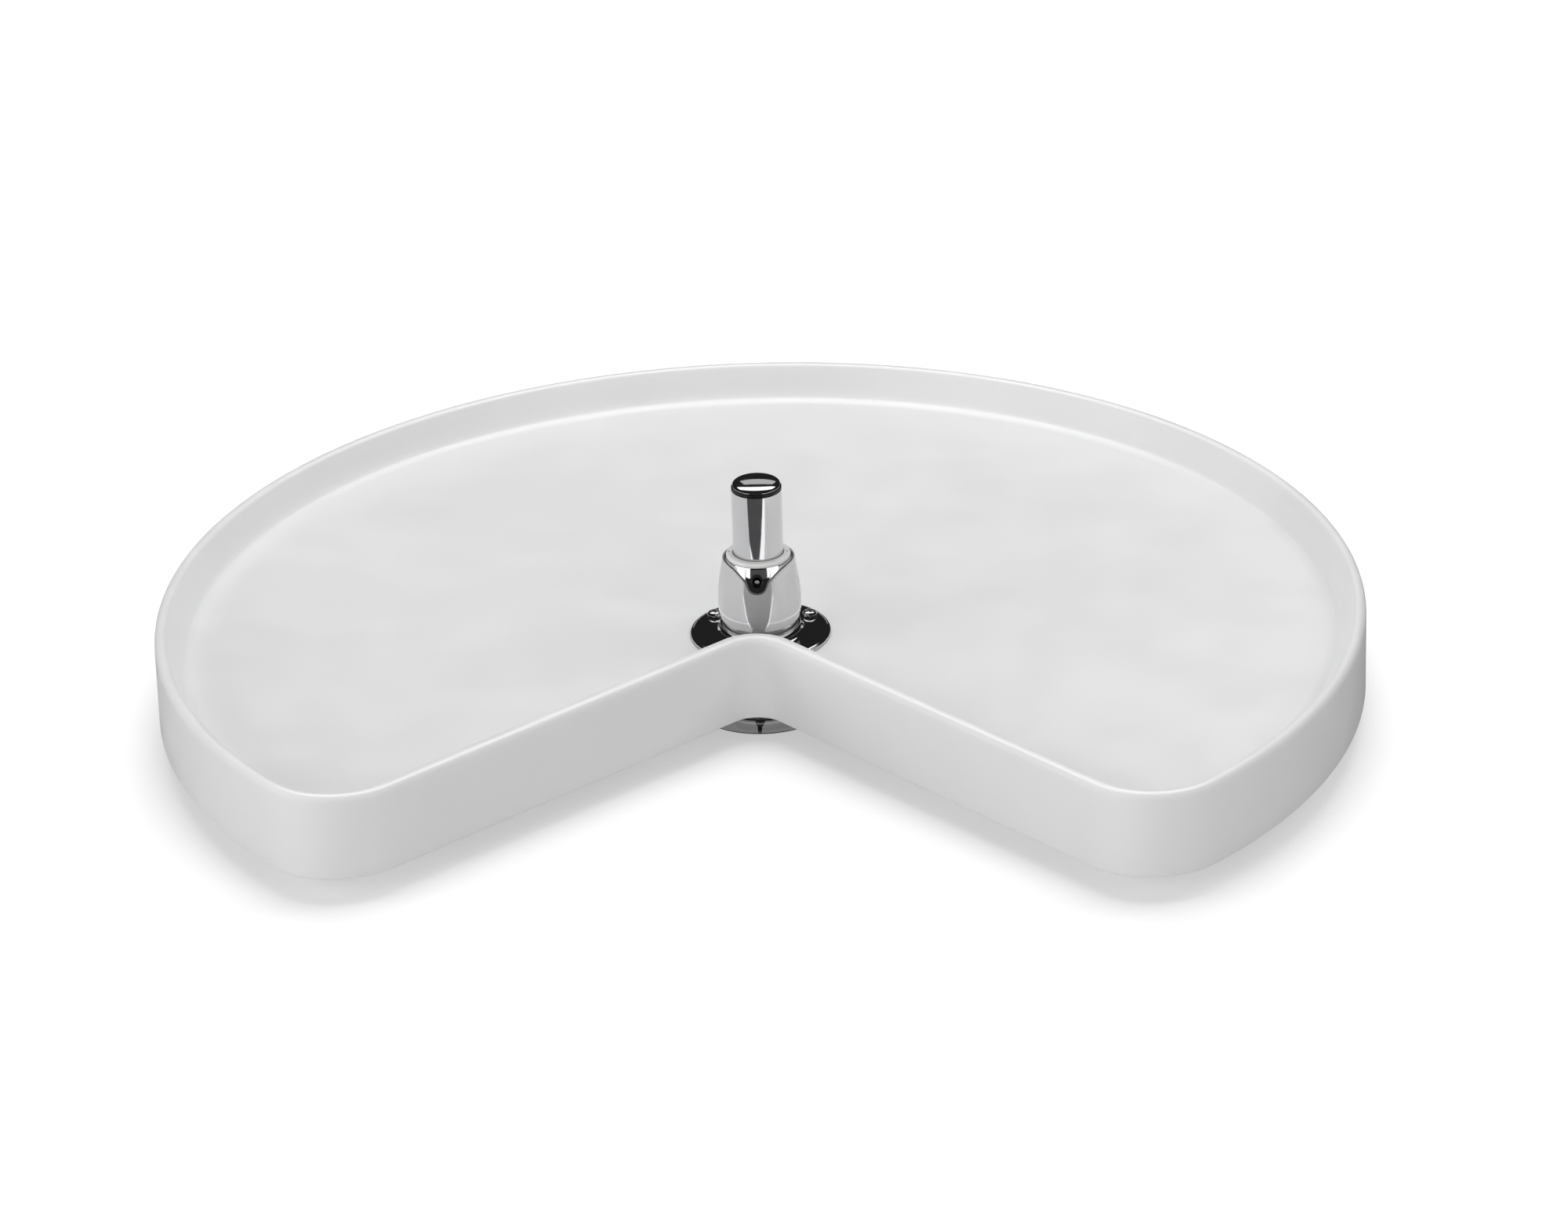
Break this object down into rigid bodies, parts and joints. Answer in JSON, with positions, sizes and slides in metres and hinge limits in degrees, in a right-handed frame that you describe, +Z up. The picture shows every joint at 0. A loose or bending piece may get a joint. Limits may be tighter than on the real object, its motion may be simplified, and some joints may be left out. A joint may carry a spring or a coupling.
{
  "type": "lazy susan turntable",
  "caption": "Kidney-shaped corner-cabinet turntable tray with a raised rim, clamped by a chrome hub to a short post that turns on a ball-bearing foot.",
  "frame": {"origin": "on the post's axis, at the flat underside of the foot that is screwed to the cabinet floor", "axes": "+Z up along the post, +X along the tray's long side, -Y towards the notch that faces the cabinet door"},
  "size_m": [0.6096, 0.5218, 0.126],
  "materials": {
    "white_plastic": "moulded white plastic with a fine even texture, soft gloss",
    "chrome": "bright chrome plate, mirror smooth",
    "satin_silver": "silver plated moulding, soft gloss",
    "bright_steel": "zinc-plated turned and pressed steel",
    "white_nylon": "natural white nylon, slightly waxy",
    "black_plastic": "black moulded plastic",
    "black_oxide": "black-oxide steel"
  },
  "bodies": {
    "base": {"base_plate": "chrome", "lower_race": "bright_steel", "pivot_stud": "bright_steel", "retaining_clip": "bright_steel"},
    "cage": {"ball_cage": "white_nylon", "bearing_ball_1": "bright_steel", "bearing_ball_2": "bright_steel", "bearing_ball_3": "bright_steel", "bearing_ball_4": "bright_steel", "bearing_ball_5": "bright_steel", "bearing_ball_6": "bright_steel", "bearing_ball_7": "bright_steel", "bearing_ball_8": "bright_steel", "bearing_ball_9": "bright_steel", "bearing_ball_10": "bright_steel", "bearing_ball_11": "bright_steel", "bearing_ball_12": "bright_steel"},
    "post": {"post_foot": "bright_steel", "pivot_bush": "white_nylon", "foot_pin": "bright_steel", "post_tube": "chrome", "cap_plug": "black_plastic", "post_cap": "chrome"},
    "hub": {"shelf_tray": "white_plastic", "shelf_flange": "chrome", "backing_flange": "bright_steel", "lower_bush": "white_nylon", "flange_screw_1": "chrome", "flange_screw_2": "chrome", "flange_screw_3": "chrome", "hub_bush": "white_nylon", "clamp_collar": "chrome", "hub_shroud": "satin_silver"},
    "clamp": {"clamp_screw": "black_oxide"}
  },
  "joints": [
    {"name": "cage_spin", "type": "hinge", "parent": "base", "child": "cage", "pos_m": [0, 0, 0.00858], "axis": [0, 0, 1], "continuous": true},
    {"name": "shelf_spin", "type": "hinge", "parent": "base", "child": "post", "pos_m": [0, 0, 0.012], "axis": [0, 0, 1], "continuous": true},
    {"name": "height_adjust", "type": "slide", "parent": "post", "child": "hub", "axis": [0, 0, 1], "range_m": [0, 0.034]},
    {"name": "clamp_screw_turn", "type": "hinge", "parent": "hub", "child": "clamp", "pos_m": [0, -0.0155, 0.077], "axis": [0, -1, 0], "range_deg": [0, 720]}
  ],
  "couplings": [
    {"joint": "cage_spin", "follows": "shelf_spin", "ratio": 0.5}
  ]
}
